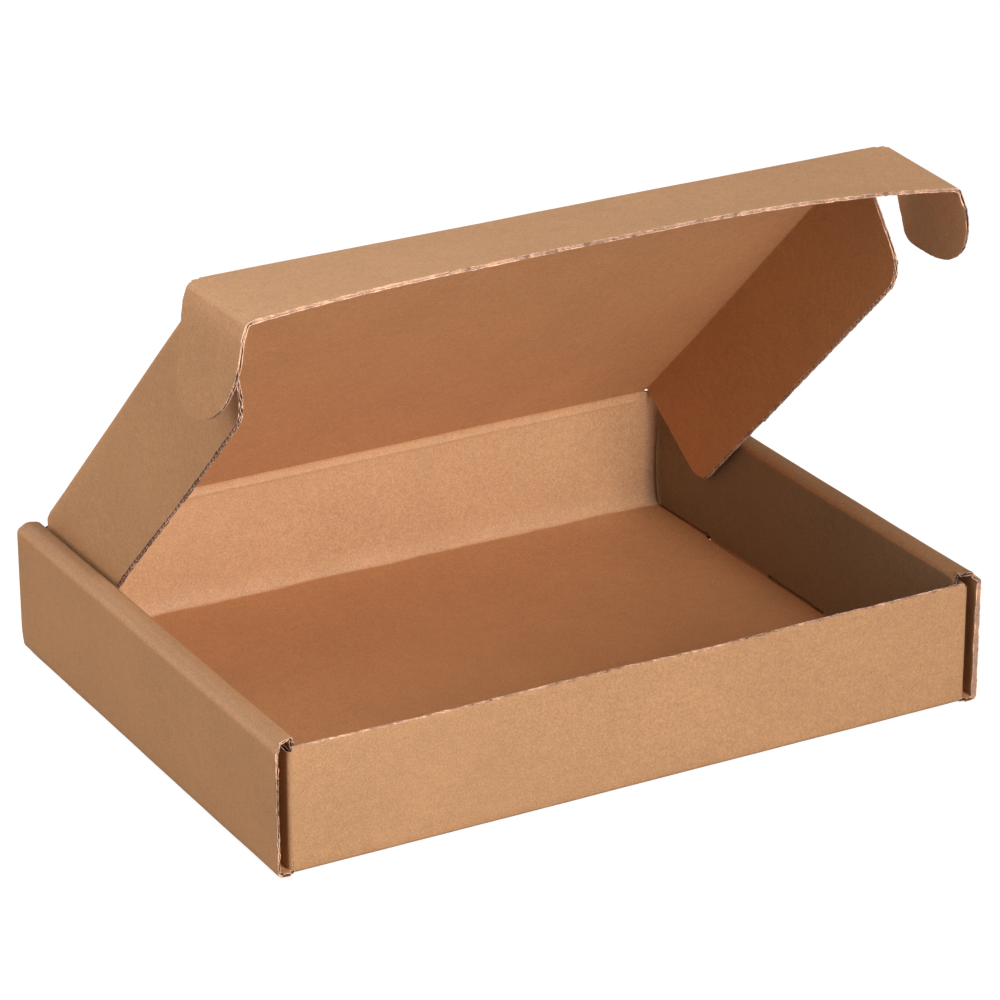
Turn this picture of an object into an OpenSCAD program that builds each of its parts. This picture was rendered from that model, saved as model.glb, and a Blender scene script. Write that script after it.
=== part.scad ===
// Corrugated mailer box, roll-end style with an outside tuck flap, posed part open.
// Origin: centre of the tray's bottom face. X to the right, Y to the back, Z up, millimetres.

/* [Size] */
// Outer length of the tray, left to right
box_length = 300; // [240:1:360]
// Outer depth of the tray, front to back
box_depth = 225; // [190:1:280]
// Height of the rolled side walls
wall_height = 53.2; // [45:0.2:70]
// Board thickness
board = 1.6; // [1.4:0.1:1.8]

/* [Tray] */
// Height of the front wall
front_height = 49.4; // [42:0.2:66]
// Front wall set back behind the side walls' ends
front_setback = 1.0; // [0.5:0.1:2]
// Slot between outer side wall and corner flap, for the lid's ears
ear_slot = 3.6; // [3:0.1:5]
// Gap between inner wall and corner flap
flap_gap = 0.6; // [0.4:0.1:1.2]
// Length of the corner flaps
corner_flap_length = 45; // [30:1:60]
// Outer radius of the plain folds
fold_radius = 2.2; // [2:0.1:3]
// Outer radius of the rolled top, outer side
roll_outer_radius = 4.5; // [3.5:0.1:5]
// Outer radius of the rolled top, inner side
roll_inner_radius = 1.9; // [1.8:0.1:2.4]
// Outer radius of the back corners
back_corner_radius = 5; // [4:0.2:5.6]
// Inner side wall set back from the front, where the roll's end slants
inner_front_setback = 4; // [3:0.2:8]
// Inner side wall set back from the rear
inner_rear_setback = 3.7; // [3.5:0.1:8]

/* [Lock tabs] */
// Length of one lock tab
tab_length = 47.6; // [30:0.2:60]
// Distance from the tray's middle to a tab's near end
tab_start = 22; // [15:0.5:30]
// Clearance around a tab in its floor slot
tab_clearance = 0.4; // [0.3:0.1:0.8]

/* [Lid] */
// Length of the lid between its creases
lid_length = 217; // [180:0.5:270]
// Overall width of the lid across the side flaps
lid_width = 274; // [230:1:276]
// Lid opened from closed
lid_angle = 44; // [20:0.5:120]
// Height of the second score below the lid's hinge
score_drop = 4; // [3:0.5:6]
// Height of the side flaps
side_flap_height = 48.4; // [40:0.2:50]
// Side flaps folded from the lid's plane
side_flap_angle = 88; // [87:0.5:91]

/* [Tuck flap] */
// Height of the tuck flap
tuck_height = 49; // [40:0.5:52]
// Distance between the ears' creases
ear_crease_span = 292.8; // [286:0.2:294]
// Tuck flap folded from the lid's plane
tuck_angle = 45.5; // [20:0.5:90]
// Height of the ears
ear_height = 44.5; // [30:0.5:46]
// Left ear folded from the tuck flap's plane
ear_left_angle = 82; // [40:1:90]
// Right ear folded from the tuck flap's plane
ear_right_angle = 71; // [40:1:90]

/* [Flutes] */
// Pitch of the corrugation
flute_pitch = 3.4; // [3.2:0.1:4]
// Liner thickness
liner = 0.25; // [0.2:0.05:0.3]
// Thickness of the corrugated middle sheet
medium = 0.3; // [0.25:0.05:0.35]
// Depth of the open groove along edges cut with the flutes
groove_depth = 1.1; // [0.6:0.1:1.6]

/* [Hidden] */
$fn = 48;
eps = 0.01;
half_x = box_length / 2;
half_y = box_depth / 2;
face_x = half_x - board;
flap_outer_x = face_x - ear_slot;
flap_inner_x = flap_outer_x - board;
inner_outer_x = flap_inner_x - flap_gap;
inner_x = inner_outer_x - board;
front_y = -half_y + front_setback;
hinge_y = half_y - board / 2;
hinge_z = wall_height - 0.4;
bead = board * 0.6;
clear_radius = board * 0.78;
lid_half = lid_width / 2;
lid_axis_x = lid_half - board;
corner_height = front_height - 1.6;
corner_base = fold_radius + 0.2;
shoulder_height = front_height - 0.4;
core = board - 2 * liner;
kraft = [0.72, 0.56, 0.38];
kraft_light = [0.76, 0.60, 0.42];

// Quarter ring around the origin, from straight down to straight right
module bend_quarter(outer) {
    intersection() {
        difference() {
            circle(r = outer, $fn = 48);
            circle(r = outer - board, $fn = 48);
        }
        translate([0, -outer]) square([outer, outer]);
    }
}

// Thin version of the quarter ring, between the liners
module groove_quarter(outer) {
    intersection() {
        difference() {
            circle(r = outer - liner, $fn = 48);
            circle(r = outer - liner - core, $fn = 48);
        }
        translate([0, -outer]) square([outer, outer]);
    }
}

// Section of a rolled side wall in X (across) and Y (up), floor bend to the inner wall's foot
module side_section(foot) {
    roll_z = wall_height - roll_outer_radius;
    inner_bend_z = wall_height - roll_inner_radius;
    translate([half_x - fold_radius, fold_radius]) bend_quarter(fold_radius);
    translate([face_x, fold_radius]) square([board, roll_z - fold_radius]);
    translate([half_x - roll_outer_radius, roll_z]) rotate(90) bend_quarter(roll_outer_radius);
    translate([inner_x + roll_inner_radius, wall_height - board])
        square([half_x - roll_outer_radius - inner_x - roll_inner_radius, board]);
    translate([inner_x + roll_inner_radius, inner_bend_z]) rotate(180) bend_quarter(roll_inner_radius);
    translate([inner_x, foot]) square([board, inner_bend_z - foot]);
}

// Groove between the liners along the same section
module side_groove(foot) {
    roll_z = wall_height - roll_outer_radius;
    inner_bend_z = wall_height - roll_inner_radius;
    translate([half_x - fold_radius, fold_radius]) groove_quarter(fold_radius);
    translate([face_x + liner, fold_radius]) square([core, roll_z - fold_radius]);
    translate([half_x - roll_outer_radius, roll_z]) rotate(90) groove_quarter(roll_outer_radius);
    translate([inner_x + roll_inner_radius, wall_height - board + liner])
        square([half_x - roll_outer_radius - inner_x - roll_inner_radius, core]);
}

// Plan of a side wall with the slanting ends of its roll
module side_plan(inset) {
    polygon([
        [half_x + 1, -half_y + inset],
        [face_x, -half_y + inset],
        [inner_outer_x, -half_y + inner_front_setback - 0.6 + inset],
        [inner_x - 1, -half_y + inner_front_setback + inset],
        [inner_x - 1, half_y - inner_rear_setback - inset],
        [inner_outer_x, half_y - inner_rear_setback - inset],
        [flap_outer_x, half_y - inset],
        [half_x + 1, half_y - inset]
    ]);
}

// Rolled side wall: outer wall, roll, inner wall and two lock tabs in the floor slots
module side_wall() {
    difference() {
        intersection() {
            translate([0, half_y + 1, 0]) rotate([90, 0, 0])
                linear_extrude(box_depth + 2) side_section(0.2);
            linear_extrude(wall_height + 1) side_plan(0);
        }
        // the inner wall's foot stands off the floor between and beyond the tabs
        translate([inner_x - 1, -tab_start, -1]) cube([board + 1.3, 2 * tab_start, board + 1.5]);
        for (side = [-1, 1]) {
            far = tab_start + tab_length;
            translate([inner_x - 1, side > 0 ? far : -half_y - 1, -1])
                cube([board + 1.3, half_y + 1 - far, board + 1.5]);
        }
        // open board ends of the outer wall and roll, front and rear
        difference() {
            translate([0, half_y + 1, 0]) rotate([90, 0, 0])
                linear_extrude(box_depth + 2) side_groove(0.2);
            linear_extrude(wall_height + 1) side_plan(groove_depth);
        }
    }
}

// Floor plate with four slots for the lock tabs and two strips under the ear slots
module floor_plate() {
    inner_edge = flap_outer_x + 0.4;
    difference() {
        linear_extrude(board) {
            polygon([
                [-half_x + fold_radius, -half_y],
                [-inner_edge, -half_y],
                [-inner_edge, front_y + fold_radius],
                [inner_edge, front_y + fold_radius],
                [inner_edge, -half_y],
                [half_x - fold_radius, -half_y],
                [half_x - fold_radius, half_y],
                [inner_edge, half_y],
                [inner_edge, half_y - fold_radius],
                [-inner_edge, half_y - fold_radius],
                [-inner_edge, half_y],
                [-half_x + fold_radius, half_y]
            ]);
        }
        for (sx = [-1, 1], sy = [-1, 1]) {
            translate([
                sx * (inner_x + board / 2) - board / 2 - tab_clearance,
                sy * (tab_start + tab_length / 2) - tab_length / 2 - tab_clearance,
                -1
            ]) cube([board + 2 * tab_clearance, tab_length + 2 * tab_clearance, board + 2]);
        }
    }
}

// Wall across the tray with its floor bend, outer face at Y 0, from Z 0 up
module cross_wall(half_width, height) {
    translate([-half_width, 0, 0]) rotate([90, 0, 90]) linear_extrude(2 * half_width) {
        translate([fold_radius, fold_radius]) rotate(-90) bend_quarter(fold_radius);
        translate([0, fold_radius]) square([board, height - fold_radius]);
    }
}

// Corner bend and corner flap behind a cross wall, outer face at Y 0, right side
module corner_flap(radius, height) {
    translate([0, 0, corner_base]) linear_extrude(height - corner_base) {
        translate([flap_outer_x - radius, radius]) bend_quarter(radius);
        translate([flap_inner_x, radius]) square([board, corner_flap_length - radius]);
    }
}

// Front wall with the open groove in its top edge
module front_wall() {
    half_width = flap_outer_x - fold_radius;
    translate([0, front_y, 0]) {
        difference() {
            cross_wall(half_width, front_height);
            translate([-half_width - 1, liner, front_height - groove_depth])
                cube([2 * half_width + 2, core, groove_depth + 1]);
        }
        for (m = [0, 1]) mirror([m, 0, 0]) corner_flap(fold_radius, corner_height);
    }
}

// Back wall up to the lid's hinge, with its second score; lower beside the lid
module back_wall() {
    half_width = flap_outer_x - back_corner_radius;
    translate([0, half_y, 0]) mirror([0, 1, 0]) {
        cross_wall(half_width, shoulder_height);
        for (m = [0, 1]) mirror([m, 0, 0]) corner_flap(back_corner_radius, shoulder_height);
        translate([-lid_half, 0, shoulder_height - eps])
            cube([lid_width, board, hinge_z - shoulder_height + eps]);
    }
    translate([-lid_half, hinge_y, hinge_z]) rotate([0, 90, 0]) cylinder(r = bead, h = lid_width);
    translate([-lid_half, hinge_y, hinge_z - score_drop]) rotate([0, 90, 0])
        cylinder(r = bead, h = lid_width);
}

module tray() {
    color(kraft) {
        floor_plate();
        for (m = [0, 1]) mirror([m, 0, 0]) side_wall();
        front_wall();
        back_wall();
    }
}

// Point list of a polygon whose corners are rounded by the given radii
function unit(v) = v / norm(v);
function corner_arc(a, b, c, r) =
    let (
        u = unit(a - b),
        w = unit(c - b),
        half = acos(max(-1, min(1, u * w))) / 2,
        reach = r / tan(half),
        centre = b + unit(u + w) * (r / sin(half)),
        from = b + u * reach - centre,
        to = b + w * reach - centre,
        start = atan2(from[1], from[0]),
        sweep = (atan2(to[1], to[0]) - start + 540) % 360 - 180,
        steps = max(1, ceil(abs(sweep) / 9))
    )
    r == 0 ? [b] : [for (i = [0:steps]) centre + r * [cos(start + sweep * i / steps), sin(start + sweep * i / steps)]];
function rounded(points, radii) =
    let (n = len(points))
    [for (i = [0:n - 1]) each corner_arc(points[(i + n - 1) % n], points[i], points[(i + 1) % n], radii[i])];

// Place children in the lid's frame: origin on the hinge, Y backwards, Z out of the top face
module on_lid() {
    translate([0, hinge_y, hinge_z]) rotate([-lid_angle, 0, 0]) children();
}

// Place children in the tuck flap's frame: origin on the front crease
module on_tuck() {
    on_lid() translate([0, -lid_length, 0]) rotate([tuck_angle, 0, 0]) children();
}

// Outer corner of a folded side flap crease: a quarter of a rod on the lid's underside edge
module side_crease() {
    crease_length = lid_length - 2 * board;
    translate([lid_axis_x, -board, -board / 2]) rotate([90, 0, 0])
        intersection() {
            cylinder(r = board, h = crease_length);
            cube([board + 1, board + 1, crease_length]);
        }
}

module lid() {
    color(kraft_light) on_lid() difference() {
        union() {
            translate([-lid_axis_x, -lid_length, -board / 2])
                cube([2 * lid_axis_x, lid_length, board]);
            for (m = [0, 1]) mirror([m, 0, 0]) side_crease();
            translate([-lid_axis_x, -lid_length, 0]) rotate([0, 90, 0])
                cylinder(r = bead, h = 2 * lid_axis_x);
        }
        translate([-lid_half - 1, 0, 0]) rotate([0, 90, 0]) cylinder(r = clear_radius, h = lid_width + 2);
    }
}

// Row of channels between the liners, along X from the crease, thickness from Z 0
module flute_row(length, reach) {
    half_pitch = flute_pitch / 2;
    count = floor(length / half_pitch) - 1;
    height = core - medium;
    rotate([90, 0, 90]) linear_extrude(reach) {
        for (i = [0:count - 1]) {
            middle = (i + 1) * half_pitch;
            low = liner + (i % 2 == 0 ? 0 : core);
            high = liner + (i % 2 == 0 ? height : medium);
            polygon([
                [-middle - half_pitch * 0.72, low],
                [-middle + half_pitch * 0.72, low],
                [-middle + half_pitch * 0.18, high],
                [-middle - half_pitch * 0.18, high]
            ]);
        }
    }
}

// Side flap laid flat: X away from the crease, Y towards the hinge
module side_flap_flat() {
    hgt = side_flap_height;
    end = lid_length - 3.6;
    outline = rounded([
        [0.15, -2.4],
        [hgt, -13],
        [hgt, -end + 4],
        [0.15, -end]
    ], [2, 12, 9, 1]);
    difference() {
        linear_extrude(board) polygon(outline);
        translate([6, -6, 0]) flute_row(end - 8, hgt);
    }
}

// Right side flap in its folded place
module side_flap() {
    on_lid() translate([lid_axis_x, 0, -board / 2]) rotate([0, side_flap_angle, 0]) side_flap_flat();
}

module side_flap_right() {
    color(kraft) side_flap();
}

module side_flap_left() {
    color(kraft) mirror([1, 0, 0]) side_flap();
}

module tuck_flap() {
    half_span = ear_crease_span / 2;
    color(kraft_light) on_tuck() difference() {
        union() {
            translate([-half_span, -tuck_height, -board / 2]) cube([ear_crease_span, tuck_height, board]);
            for (m = [0, 1]) mirror([m, 0, 0])
                translate([half_span, -1.5, 0]) rotate([90, 0, 0]) cylinder(r = bead, h = tuck_height - 2.5);
        }
        translate([-lid_half - 0.4, 0, 0]) rotate([0, 90, 0])
            cylinder(r = clear_radius, h = lid_width + 0.8);
        translate([-half_span + 2, -tuck_height - 1, -core / 2])
            cube([ear_crease_span - 4, groove_depth + 1, core]);
    }
}

// Ear laid flat: X away from the crease, Y towards the lid
module ear_flat() {
    hgt = ear_height;
    base = tuck_height - 1;
    outline = rounded([
        [0, -1.8],
        [hgt, -2.4],
        [hgt, -base - 3],
        [0, -base]
    ], [1.5, 9, min(hgt - 9, base - 13), 0.8]);
    difference() {
        translate([0, 0, -board / 2]) linear_extrude(board) polygon(outline);
        translate([5, -2, -board / 2]) flute_row(base - 2, hgt);
        translate([0, 1, 0]) rotate([90, 0, 0]) cylinder(r = clear_radius, h = base + 5);
    }
}

// Ear in its folded place, built on the right side
module ear(angle) {
    on_tuck() translate([ear_crease_span / 2, 0, 0]) rotate([0, angle, 0]) ear_flat();
}

module ear_right() {
    color(kraft) ear(ear_right_angle);
}

module ear_left() {
    color(kraft) mirror([1, 0, 0]) ear(ear_left_angle);
}

tray();
lid();
tuck_flap();
side_flap_left();
side_flap_right();
ear_left();
ear_right();
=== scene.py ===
import math
import bmesh
import bpy
from mathutils import Matrix, Vector, noise


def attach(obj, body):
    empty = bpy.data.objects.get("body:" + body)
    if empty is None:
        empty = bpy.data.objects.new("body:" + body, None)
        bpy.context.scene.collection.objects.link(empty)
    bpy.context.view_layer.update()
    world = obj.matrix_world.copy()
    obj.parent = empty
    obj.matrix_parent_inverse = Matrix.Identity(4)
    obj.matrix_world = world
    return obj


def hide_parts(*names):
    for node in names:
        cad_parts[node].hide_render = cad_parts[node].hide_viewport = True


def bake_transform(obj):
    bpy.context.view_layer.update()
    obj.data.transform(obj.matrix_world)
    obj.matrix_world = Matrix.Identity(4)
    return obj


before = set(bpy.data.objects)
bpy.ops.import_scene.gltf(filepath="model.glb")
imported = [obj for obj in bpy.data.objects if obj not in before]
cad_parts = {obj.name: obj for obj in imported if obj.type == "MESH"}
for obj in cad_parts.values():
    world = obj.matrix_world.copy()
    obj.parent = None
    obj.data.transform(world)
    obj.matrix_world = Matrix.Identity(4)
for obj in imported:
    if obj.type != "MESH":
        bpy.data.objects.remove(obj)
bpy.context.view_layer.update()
print("frame loaded:", len(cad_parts), "nodes")

mm = 0.001
noise.seed_set(1)  # without it the noise differs from run to run

# the sheet that the whole mailer is cut and folded from, in millimetres, and how finely it is drawn
board = {
    "thickness": 1.6, "liner": 0.32, "flutePitch": 3.4, "fluteHeight": 0.42, "fluteLift": 0.12,
    "gridStep": 4.0, "waveStep": 12.0, "perWave": 8, "band": 6, "edgeCuts": (0.8, 2), "uvScale": 0.01,
    "sharpFrom": 32,
}

# sizes of the folded mailer, whose outside is the frame's
mailer = {
    "halfX": 150.0, "halfY": 112.5, "wallHeight": 53.2, "frontHeight": 49.4, "frontSetback": 1.0,
    "earSlot": 3.6, "flapGap": 0.6, "foldRadius": 2.2, "tightFold": 1.65, "rollInner": 2.85,
    "frontSlant": 4.0, "rearSlant": 4.4, "cornerFlap": 45.0, "shoulder": 51.1, "hingeY": 111.7,
    "hingeZ": 52.8, "hingeStrip": 1.2, "scoreDrop": 4.0, "lidLength": 217.0, "lidHalf": 137.0,
    "lidAngle": 44.0, "sideAngle": 88, "tuckHeight": 49.0, "tuckAngle": 45.5, "earCrease": 146.4,
    "earAngle": 82, "earRadius": 1.5, "creaseRadius": 1.3,
}
half = board["thickness"] / 2
flapOuterX = mailer["halfX"] - board["thickness"] - mailer["earSlot"]
innerWallX = flapOuterX - 2 * board["thickness"] - mailer["flapGap"]
frontY = -mailer["halfY"] + mailer["frontSetback"]
far = 999  # beyond every edge
near = 0.1  # close enough to be on a line


def clamp(value):
    return min(1, max(0, value))


# how far the value has come from start to end, between 0 and 1
def ramp(value, start, end):
    return clamp((value - start) / (end - start))


# A folding line in a plane: straight runs and left turns, with the outside of the board on its right.
def makePath(a, b, heading, *pieces):
    path, heading, at = [], math.radians(heading), 0.0
    for kind, *size in pieces:
        step = {"kind": kind, "start": at, "a": a, "b": b, "heading": heading}
        if kind == "run":
            step["end"] = at = at + size[0]
            a, b = a + size[0] * math.cos(heading), b + size[0] * math.sin(heading)
        else:
            radius, turn = size[0], math.radians(size[1])
            step["radius"] = radius
            step["centre"] = (a - radius * math.sin(heading), b + radius * math.cos(heading))
            step["end"] = at = at + radius * turn
            heading += turn
            a = step["centre"][0] + radius * math.sin(heading)
            b = step["centre"][1] - radius * math.cos(heading)
        path.append(step)
    return path


def pathEnd(path):
    return path[-1]["end"]


# how far a crease reaches from its corner to where its bend starts
def tangent(radius, angle):
    return radius * math.tan(math.radians(angle) / 2)


# the point at distance t along the path, lifted towards the board's outside
def pathPoint(path, t, lift):
    step = next((s for s in path if t <= s["end"] + 1e-6), path[-1])
    if step["kind"] == "run":
        h, along = step["heading"], t - step["start"]
        return (step["a"] + along * math.cos(h) + lift * math.sin(h),
                step["b"] + along * math.sin(h) - lift * math.cos(h))
    h = step["heading"] + (t - step["start"]) / step["radius"]
    reach = step["radius"] + lift
    return step["centre"][0] + reach * math.sin(h), step["centre"][1] - reach * math.cos(h)


# places along the path where the flat sheet needs crease lines
def turnCuts(path, perTurn):
    cuts = []
    for step in path:
        if step["kind"] == "turn":
            cuts += [step["start"] + (step["end"] - step["start"]) * i / perTurn for i in range(perTurn + 1)]
    return cuts


# cutting planes round a flat outline; each corner is (x, y, rounding measured along its edges)
def outlinePlanes(corners, segments=7):
    bm = bmesh.new()
    verts = [bm.verts.new((x, y, 0)) for x, y, r in corners]
    bm.faces.new(verts)
    for vert, (x, y, r) in zip(verts, corners):
        if r:
            bmesh.ops.bevel(bm, geom=[vert], offset=r, offset_type="OFFSET", affect="VERTICES",
                            segments=segments, profile=0.5, material=-1)
    middle = sum((v.co for v in bm.verts), Vector()) / len(bm.verts)
    planes = []
    for edge in bm.edges:
        a, b = edge.verts[0].co.copy(), edge.verts[1].co.copy()
        out = Vector((b.y - a.y, a.x - b.x, 0)).normalized()
        if out.dot(a - middle) < 0:
            out.negate()
        planes.append((a, out))
    bm.free()
    return planes


def cutSheet(bm, point, normal, clear=False):
    bmesh.ops.bisect_plane(bm, geom=bm.verts[:] + bm.edges[:] + bm.faces[:], dist=1e-4,
                           plane_co=point, plane_no=normal, clear_outer=clear)


# crease lines across the sheet, and nothing taken away
def creaseSheet(bm, area, cutsX, cutsY):
    x0, x1, y0, y1 = area
    for x in cutsX:
        if x0 < x < x1:
            cutSheet(bm, (x, 0, 0), (1, 0, 0))
    for y in cutsY:
        if y0 < y < y1:
            cutSheet(bm, (0, y, 0), (0, 1, 0))


def cutHole(bm, area, hole):
    x0, x1, y0, y1 = hole
    creaseSheet(bm, area, (x0, x1), (y0, y1))
    middles = {face: face.calc_center_median() for face in bm.faces}
    inside = [face for face, middle in middles.items() if x0 < middle.x < x1 and y0 < middle.y < y1]
    bmesh.ops.delete(bm, geom=inside, context="FACES")


# material slots of a sheet; Solidify puts its back 3 slots further on and its rim 6
slotIndex = {"outer": 0, "inner": 1, "medium": 2, "back": 3, "rim": 6, "strip": 8}


# the faces' slot, and the blank's own UV map
def markFaces(bm, slot):
    uvLayer = bm.loops.layers.uv.new("blank")
    for face in bm.faces:
        face.material_index = slot
        for loop in face.loops:
            loop[uvLayer].uv = (loop.vert.co.x * board["uvScale"], loop.vert.co.y * board["uvScale"])


def joinInto(target, bm):
    piece = bpy.data.meshes.new("sheet")
    bm.to_mesh(piece)
    bm.free()
    target.from_mesh(piece)
    bpy.data.meshes.remove(piece)


# a cut edge: its coarse and fine raggedness, how it is crushed, and how finely its rim is drawn
tear = {
    "coarse": 0.28, "fine": 1.3, "fineShare": 0.9, "crushLeast": 0.3, "crushSpread": 1.6, "mediumCrush": 0.3,
    "mediumRough": 0.8, "rimFrom": 1.6, "rimCuts": 3, "stripStep": 1.3, "stripScale": (0.9, 2),
    "stripSlope": 0.25,
}


def tearEdge(bm, lift, slot, wave, rough, crush, smoothEdge):
    seed = Vector((3.1 * slot, 7.7, lift * 5))
    rimVerts = {v for e in bm.edges if e.is_boundary for v in e.verts}
    for vert in bm.verts:
        vert.co.z = lift
        if wave:
            turn = 2 * math.pi * vert.co.y / board["flutePitch"]
            vert.co.z = board["fluteLift"] + board["fluteHeight"] * math.sin(turn)
        if vert in rimVerts and not (smoothEdge and smoothEdge(vert.co)):
            push = noise.noise_vector(vert.co * tear["coarse"] + seed)
            push += tear["fineShare"] * noise.noise_vector(vert.co * tear["fine"] + seed)
            vert.co.x += rough * push.x
            vert.co.y += rough * push.y
            if lift:
                vert.co.z -= math.copysign(crush * (tear["crushLeast"] + tear["crushSpread"] * push.z), lift)
            else:
                vert.co.z += tear["mediumCrush"] * crush * push.z


# One flat sheet in blank millimetres: X along the flutes, Y across them, Z the lift in the board.
def flatSheet(area, lift, slot, stepX, stepY, cutsX=(), cutsY=(), planes=(), holes=(), wave=False, rough=0.0,
              crush=0.0, smoothEdge=None):
    x0, x1, y0, y1 = area
    bm = bmesh.new()
    countX, countY = max(1, round((x1 - x0) / stepX)), max(1, round((y1 - y0) / stepY))
    place = Matrix.Translation(((x0 + x1) / 2, (y0 + y1) / 2, 0)) @ Matrix.Diagonal((x1 - x0, y1 - y0, 1, 1))
    bmesh.ops.create_grid(bm, x_segments=countX, y_segments=countY, size=0.5, matrix=place)
    creaseSheet(bm, area, cutsX, cutsY)
    for hole in holes:
        cutHole(bm, area, hole)
    for point, normal in planes:
        cutSheet(bm, point, normal, True)
    bmesh.ops.remove_doubles(bm, verts=bm.verts[:], dist=0.02)
    loose = [v for v in bm.verts if not v.link_faces]
    bmesh.ops.delete(bm, geom=loose, context="VERTS")
    if not wave and rough:
        rim = [e for e in bm.edges if e.is_boundary and e.calc_length() > tear["rimFrom"]]
        bmesh.ops.subdivide_edges(bm, edges=rim, cuts=tear["rimCuts"])
    markFaces(bm, slot)
    tearEdge(bm, lift, slot, wave, rough, crush, smoothEdge)
    if lift < 0:
        bmesh.ops.reverse_faces(bm, faces=bm.faces[:])
    return bm


# The named layers of a stretch of board, laid flat and then folded by the given rule into the target.
def layBoard(target, area, fold, layers=("outer", "inner", "medium"), bands=None, rough=0.1, crush=0.1,
             step=board["gridStep"], waveStep=board["waveStep"], **shape):
    sheets = []
    for layer, lift in (("outer", half), ("inner", -half)):
        if layer in layers:
            slot = slotIndex[layer]
            sheets.append(flatSheet(area, lift, slot, step, step, rough=rough, crush=crush, **shape))
    if "medium" in layers:
        acrossStep = board["flutePitch"] / board["perWave"]
        for band in bands or [area]:
            sheets.append(flatSheet(band, 0, slotIndex["medium"], waveStep, acrossStep, wave=True,
                                    rough=rough * tear["mediumRough"], crush=crush, **shape))
    # where the rule mirrors the sheet, its faces are turned back
    middle = Vector(((area[0] + area[1]) / 2, (area[2] + area[3]) / 2, 0))
    corner = fold(middle)
    nudges = ((0.01, 0, 0), (0, 0.01, 0), (0, 0, 0.01))
    alongX, alongY, up = (fold(middle + Vector(nudge)) - corner for nudge in nudges)
    turned = alongX.cross(alongY).dot(up) < 0
    for bm in sheets:
        for vert in bm.verts:
            vert.co = fold(vert.co)
        if turned:
            bmesh.ops.reverse_faces(bm, faces=bm.faces[:])
        joinInto(target, bm)


# The crushed core in a cut edge: a torn strip between two lifts, at y on the blank.
def tornStrip(target, start, end, cut, fold, low, high, ragged=0.22, slot=slotIndex["strip"]):
    bm = bmesh.new()
    count = max(2, round(abs(end - start) / tear["stripStep"]))
    bmesh.ops.create_grid(bm, x_segments=count, y_segments=2, size=0.5,
                          matrix=Matrix.Diagonal((abs(end - start), high - low, 1, 1)))
    markFaces(bm, slot)
    scaleX, scaleY = tear["stripScale"]
    for vert in bm.verts:
        along, lift = vert.co.x + (start + end) / 2, vert.co.y + (low + high) / 2
        push = noise.noise_vector(Vector((along * scaleX, lift * scaleY, cut)))
        across = cut + ragged * push.x - tear["stripSlope"] * abs(lift - low)
        vert.co = fold(Vector((along, across, lift + ragged * push.y)))
    joinInto(target, bm)


# gentle unevenness of handled card, in millimetres
handling = {"amount": 0.28, "wide": 0.011, "close": 0.045, "closeShare": 0.28}


def handled(co):
    wide = noise.noise_vector(co * handling["wide"]) * handling["amount"]
    close = noise.noise_vector(co * handling["close"] + Vector((9, 4, 1))) * handling["amount"]
    return co + wide + close * handling["closeShare"]


# how the real box stands; pairs are for the left and the right side, spans run from none to full
stand = {
    "rearLift": (0.5, 1.7), "frontLift": (0.0, 0.3), "forward": (1.0, 0.3), "liftSpan": (-60, 110),
    "liftTop": 50, "forwardSpan": (60, 110), "trayTop": 60, "lidFrom": 70, "foldAt": 110, "foldDepth": 6,
    "foldHeight": 5, "foldBulge": 2.3, "foldWave": 1.3, "foldRise": 0.4, "rippleScale": 0.05, "lidLeft": 0.4,
    "lidLeftFrom": 54,
}


def settled(co):
    side = ramp(co.x, -mailer["halfX"], mailer["halfX"])
    rear = ramp(co.y, *stand["liftSpan"])
    names = ("frontLift", "rearLift", "forward")
    front, back, ahead = (stand[k][0] + (stand[k][1] - stand[k][0]) * side for k in names)
    lift = (front + (back - front) * rear) * ramp(co.z, 0, stand["liftTop"])
    if co.z >= stand["lidFrom"]:
        lift *= rear
    fold = math.exp(-((co.y - stand["foldAt"]) / stand["foldDepth"]) ** 2 - (co.z / stand["foldHeight"]) ** 2)
    ripple = noise.noise_vector(Vector((co.x * stand["rippleScale"], 3.3, 0.7)))
    forward = ahead * ramp(-co.y, *stand["forwardSpan"]) * (co.z < stand["trayTop"])
    bulge = fold * (stand["foldBulge"] + stand["foldWave"] * ripple.y)
    raised = fold * (stand["foldRise"] + abs(ripple.z)) * clamp(co.z)
    left = stand["lidLeft"] * (co.z > stand["lidLeftFrom"]) * min(0, co.x / mailer["lidHalf"])
    return handled(co) + Vector((left, -forward - bulge, lift + raised))


def finishBoard(name, bm, slots):
    for vert in bm.verts:
        vert.co = settled(vert.co) * mm
    mesh = bpy.data.meshes.new(name)
    bm.to_mesh(mesh)
    bm.free()
    for slot in slots:
        mesh.materials.append(slot)
    obj = bpy.data.objects.new(name, mesh)
    bpy.context.scene.collection.objects.link(obj)
    paper = obj.modifiers.new("paper", "SOLIDIFY")
    paper.thickness = board["liner"] * mm
    paper.offset = -1
    paper.material_offset = slotIndex["back"]
    paper.material_offset_rim = slotIndex["rim"]
    bpy.context.view_layer.update()
    solid = bpy.data.meshes.new_from_object(obj.evaluated_get(bpy.context.evaluated_depsgraph_get()))
    obj.modifiers.clear()
    obj.data = solid
    solid.name = name
    bpy.data.meshes.remove(mesh)
    solid.shade_smooth()
    solid.set_sharp_from_angle(angle=math.radians(board["sharpFrom"]))
    print(name, "faces:", len(solid.polygons))
    return obj


def newMaterial(name):
    material = bpy.data.materials.new(name)
    material.use_nodes = True
    nodes, links = material.node_tree.nodes, material.node_tree.links
    nodes.clear()
    out = nodes.new("ShaderNodeOutputMaterial")
    shader = nodes.new("ShaderNodeBsdfPrincipled")
    links.new(shader.outputs[0], out.inputs[0])
    return material, nodes, links, shader


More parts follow.
